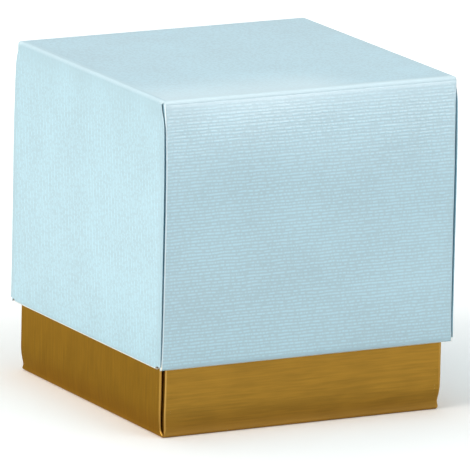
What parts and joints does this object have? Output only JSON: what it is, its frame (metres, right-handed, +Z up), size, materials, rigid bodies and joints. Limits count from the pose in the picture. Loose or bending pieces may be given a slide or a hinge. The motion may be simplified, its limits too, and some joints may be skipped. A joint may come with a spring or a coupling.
{
  "type": "favor box",
  "caption": "Cube favor box of folded card: a gold foil base with rolled double walls and a deep, embossed pale blue pull-off lid.",
  "frame": {"origin": "middle of the underside of the base, on the surface that the box stands on", "axes": "+Z up, the way the lid lifts; -Y towards the front wall, +X towards the right wall"},
  "size_m": [0.055, 0.055, 0.0568],
  "materials": {
    "gold_foil_card": "metallic gold foil on card, fine horizontal brushed grain",
    "blue_linen_card": "pale blue card with a fine embossed linen rib and a soft silky sheen"
  },
  "bodies": {
    "base": {"base_floor": "gold_foil_card", "base_front_wall": "gold_foil_card", "base_back_wall": "gold_foil_card", "base_left_wall": "gold_foil_card", "base_right_wall": "gold_foil_card", "base_front_inner_wall": "gold_foil_card", "base_back_inner_wall": "gold_foil_card", "base_left_inner_wall": "gold_foil_card", "base_right_inner_wall": "gold_foil_card", "base_gusset_front_left": "gold_foil_card", "base_gusset_front_right": "gold_foil_card", "base_gusset_back_left": "gold_foil_card", "base_gusset_back_right": "gold_foil_card"},
    "lid": {"lid_top": "blue_linen_card", "lid_front_wall": "blue_linen_card", "lid_back_wall": "blue_linen_card", "lid_left_wall": "blue_linen_card", "lid_right_wall": "blue_linen_card", "lid_front_inner_wall": "blue_linen_card", "lid_back_inner_wall": "blue_linen_card", "lid_left_inner_wall": "blue_linen_card", "lid_right_inner_wall": "blue_linen_card", "lid_gusset_front_left": "blue_linen_card", "lid_gusset_front_right": "blue_linen_card", "lid_gusset_back_left": "blue_linen_card", "lid_gusset_back_right": "blue_linen_card"}
  },
  "joints": [
    {"name": "lid_lift", "type": "slide", "parent": "base", "child": "lid", "axis": [0, 0, 1], "range_m": [0, 0.06]}
  ]
}
